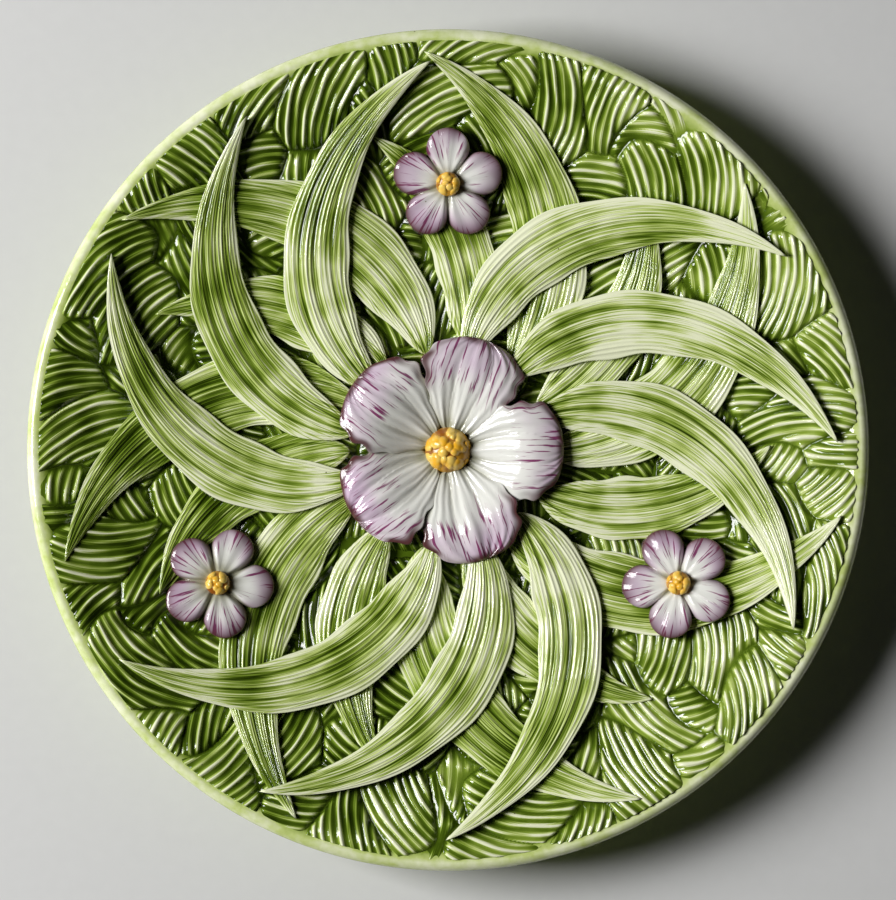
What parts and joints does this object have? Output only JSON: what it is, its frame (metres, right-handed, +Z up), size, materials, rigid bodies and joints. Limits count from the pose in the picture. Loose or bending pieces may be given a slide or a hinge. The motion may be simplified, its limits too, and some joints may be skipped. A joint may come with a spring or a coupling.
{
  "type": "bread and butter plate",
  "caption": "Round rimless side plate of glazed earthenware on a foot ring, with layered relief leaves and blossoms over a shallow dish for bread or a roll.",
  "frame": {"origin": "middle of the foot ring's resting plane", "axes": "+Z up out of the dish; +X and +Y lie in the resting plane, and one small blossom stands on +Y"},
  "size_m": [0.18, 0.18, 0.0212],
  "materials": {
    "body_glaze": "gloss green glaze, darker where it pools",
    "under_leaf_glaze": "gloss green glaze, darker where it pools",
    "leaf_glaze": "gloss green glaze, thin and pale on the ridges",
    "petal_glaze": "gloss white glaze with lilac brush strokes",
    "centre_glaze": "gloss yellow glaze"
  },
  "bodies": {
    "root": {"plate_body": "body_glaze", "under_leaf_01": "under_leaf_glaze", "under_leaf_02": "under_leaf_glaze", "under_leaf_03": "under_leaf_glaze", "under_leaf_04": "under_leaf_glaze", "under_leaf_05": "under_leaf_glaze", "under_leaf_06": "under_leaf_glaze", "under_leaf_07": "under_leaf_glaze", "under_leaf_08": "under_leaf_glaze", "under_leaf_09": "under_leaf_glaze", "under_leaf_10": "under_leaf_glaze", "under_leaf_11": "under_leaf_glaze", "under_leaf_12": "under_leaf_glaze", "under_leaf_13": "under_leaf_glaze", "under_leaf_14": "under_leaf_glaze", "arch_leaf_01": "leaf_glaze", "arch_leaf_02": "leaf_glaze", "arch_leaf_03": "leaf_glaze", "arch_leaf_04": "leaf_glaze", "arch_leaf_05": "leaf_glaze", "arch_leaf_06": "leaf_glaze", "arch_leaf_07": "leaf_glaze", "short_leaf_01": "leaf_glaze", "short_leaf_02": "leaf_glaze", "short_leaf_03": "leaf_glaze", "short_leaf_04": "leaf_glaze", "short_leaf_05": "leaf_glaze", "short_leaf_06": "leaf_glaze", "short_leaf_07": "leaf_glaze", "top_leaf_01": "leaf_glaze", "top_leaf_02": "leaf_glaze", "top_leaf_03": "leaf_glaze", "top_leaf_04": "leaf_glaze", "top_leaf_05": "leaf_glaze", "top_leaf_06": "leaf_glaze", "top_leaf_07": "leaf_glaze", "top_leaf_08": "leaf_glaze", "top_leaf_09": "leaf_glaze", "small_corolla_01": "petal_glaze", "small_corolla_02": "petal_glaze", "small_corolla_03": "petal_glaze", "small_centre_01": "centre_glaze", "small_centre_02": "centre_glaze", "small_centre_03": "centre_glaze", "petal_01": "petal_glaze", "petal_02": "petal_glaze", "petal_03": "petal_glaze", "petal_04": "petal_glaze", "petal_05": "petal_glaze", "large_centre": "centre_glaze"}
  },
  "joints": []
}
